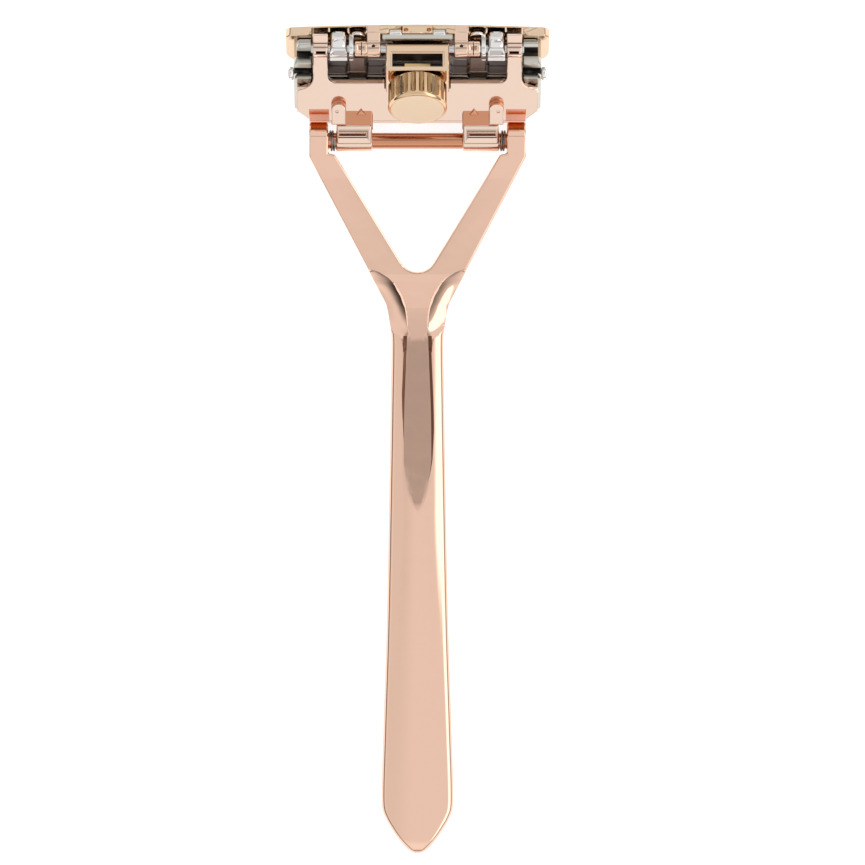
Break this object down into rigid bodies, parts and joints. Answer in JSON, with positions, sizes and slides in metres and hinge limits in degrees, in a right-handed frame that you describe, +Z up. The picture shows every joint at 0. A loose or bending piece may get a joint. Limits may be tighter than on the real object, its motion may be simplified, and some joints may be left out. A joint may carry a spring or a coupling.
{
  "type": "safety razor",
  "caption": "Pivoting-head safety razor with a forked metal handle, fan-opening blade stack and a thumb clamp knob.",
  "frame": {"origin": "centre of the bounding box in X and Y, at the surface the razor lies on, blades down", "axes": "+Y runs along the handle towards the head, +X across the head, +Z up from the surface"},
  "size_m": [0.047, 0.1482, 0.023],
  "materials": {
    "rose_gold": "mirror polished rose-gold plating on zinc",
    "yellow_gold": "polished pale gold plating",
    "nickel_plate": "satin nickel plating",
    "chrome_plate": "bright plating",
    "blade_steel": "ground stainless steel",
    "spring_steel": "drawn steel",
    "magnet": "nickel-plated magnet",
    "brass_nut": "turned brass"
  },
  "bodies": {
    "handle": {"handle": "rose_gold", "cross_rod": "rose_gold", "rod_cap_left": "rose_gold", "rod_cap_right": "rose_gold", "return_spring_left": "spring_steel", "return_spring_right": "spring_steel"},
    "head": {"head_base": "rose_gold", "spring_post_left": "rose_gold", "spring_post_right": "rose_gold", "lower_bed": "nickel_plate", "blade_lower": "blade_steel", "magnet_lower_left": "magnet", "magnet_lower_right": "magnet", "yoke": "yellow_gold", "hinge_pin": "spring_steel", "end_pin_left": "chrome_plate", "end_pin_right": "chrome_plate"},
    "knob": {"thumb_knob": "yellow_gold", "clamp_screw": "spring_steel", "thrust_washer": "spring_steel", "retaining_clip": "spring_steel"},
    "nut": {"clamp_nut": "brass_nut"},
    "middle_plate": {"middle_carrier": "nickel_plate", "blade_middle": "blade_steel", "magnet_middle_left": "magnet", "magnet_middle_right": "magnet"},
    "upper_plate": {"upper_carrier": "chrome_plate", "blade_upper": "blade_steel", "magnet_upper_left": "magnet", "magnet_upper_right": "magnet"},
    "lid": {"lid": "yellow_gold", "lid_bar": "nickel_plate"}
  },
  "joints": [
    {"name": "head_tip", "type": "hinge", "parent": "handle", "child": "head", "pos_m": [0, 0.05372, 0.00583], "axis": [1, 0, 0], "range_deg": [0, 30], "stiffness_Nm_per_rad": 0.03, "springref_deg": -17.19},
    {"name": "lid_open", "type": "hinge", "parent": "head", "child": "lid", "pos_m": [0, 0.0698, 0.01618], "axis": [1, 0, 0], "range_deg": [0, 48]},
    {"name": "upper_open", "type": "hinge", "parent": "head", "child": "upper_plate", "pos_m": [0, 0.0698, 0.01618], "axis": [1, 0, 0], "range_deg": [0, 32.1]},
    {"name": "middle_open", "type": "hinge", "parent": "head", "child": "middle_plate", "pos_m": [0, 0.0698, 0.01618], "axis": [1, 0, 0], "range_deg": [0, 16.1]},
    {"name": "knob_turn", "type": "hinge", "parent": "head", "child": "knob", "pos_m": [0, 0.06378, 0.016], "axis": [0, -0.8746, 0.4848], "range_deg": [0, 541]},
    {"name": "nut_travel", "type": "slide", "parent": "head", "child": "nut", "axis": [0, 0.8746, -0.4848], "range_m": [0, 0.00101]}
  ],
  "couplings": [
    {"joint": "upper_open", "follows": "lid_open", "ratio": 0.66667},
    {"joint": "middle_open", "follows": "lid_open", "ratio": 0.33333},
    {"joint": "knob_turn", "follows": "lid_open", "ratio": 11.25},
    {"joint": "nut_travel", "follows": "lid_open", "m_per_rad": 0.001194}
  ]
}
